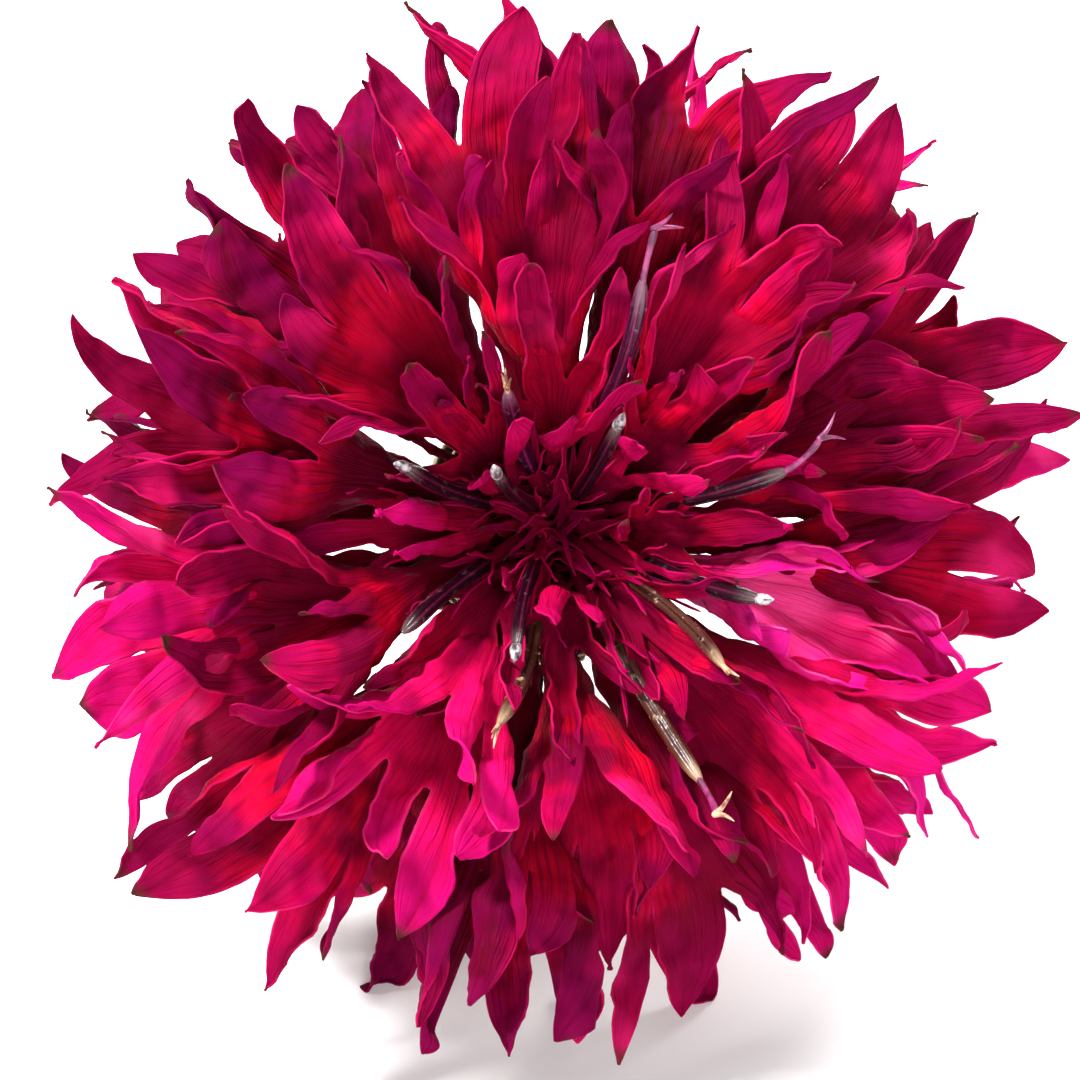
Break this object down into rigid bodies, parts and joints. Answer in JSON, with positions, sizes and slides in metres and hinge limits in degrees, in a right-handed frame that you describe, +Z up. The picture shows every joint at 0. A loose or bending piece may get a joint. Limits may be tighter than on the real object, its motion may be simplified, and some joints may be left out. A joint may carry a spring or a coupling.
{
  "type": "cornflower head",
  "caption": "Crimson double cornflower picked with a short stalk: whorls of lobed trumpet petals round dark anther columns, over a green scaly cup.",
  "frame": {"origin": "centre of the footprint, on the surface that the flower lies on", "axes": "+Z up; the flower rests on its cut stalk end, towards +Y, and on its lowest petals, towards -Y; its face looks up and towards -Y"},
  "size_m": [0.0444, 0.043, 0.0405],
  "materials": {
    "petal": "matt, papery",
    "column": "satin",
    "bract": "matt",
    "dome": "matt",
    "stalk": "matt"
  },
  "bodies": {
    "root": {"outer_floret_01": "petal", "outer_floret_02": "petal", "outer_floret_03": "petal", "outer_floret_04": "petal", "outer_floret_05": "petal", "outer_floret_06": "petal", "outer_floret_07": "petal", "outer_floret_08": "petal", "outer_floret_09": "petal", "outer_floret_10": "petal", "outer_floret_11": "petal", "outer_floret_12": "petal", "second_floret_01": "petal", "second_floret_02": "petal", "second_floret_03": "petal", "second_floret_04": "petal", "second_floret_05": "petal", "second_floret_06": "petal", "second_floret_07": "petal", "second_floret_08": "petal", "second_floret_09": "petal", "second_floret_10": "petal", "second_floret_11": "petal", "second_floret_12": "petal", "third_floret_01": "petal", "third_floret_02": "petal", "third_floret_03": "petal", "third_floret_04": "petal", "third_floret_05": "petal", "third_floret_06": "petal", "third_floret_07": "petal", "third_floret_08": "petal", "third_floret_09": "petal", "third_floret_10": "petal", "inner_floret_01": "petal", "inner_floret_02": "petal", "inner_floret_03": "petal", "inner_floret_04": "petal", "inner_floret_05": "petal", "inner_floret_06": "petal", "inner_floret_07": "petal", "inner_floret_08": "petal", "disc_floret_01": "column", "disc_floret_02": "column", "disc_floret_03": "column", "disc_floret_04": "column", "disc_floret_05": "column", "disc_floret_06": "column", "disc_floret_07": "column", "disc_floret_08": "column", "centre_floret_01": "column", "centre_floret_02": "column", "centre_floret_03": "column", "centre_floret_04": "column", "bract_row_1": "bract", "bract_row_2": "bract", "bract_row_3": "bract", "bract_row_4": "bract", "receptacle": "dome", "stalk": "stalk"}
  },
  "joints": []
}
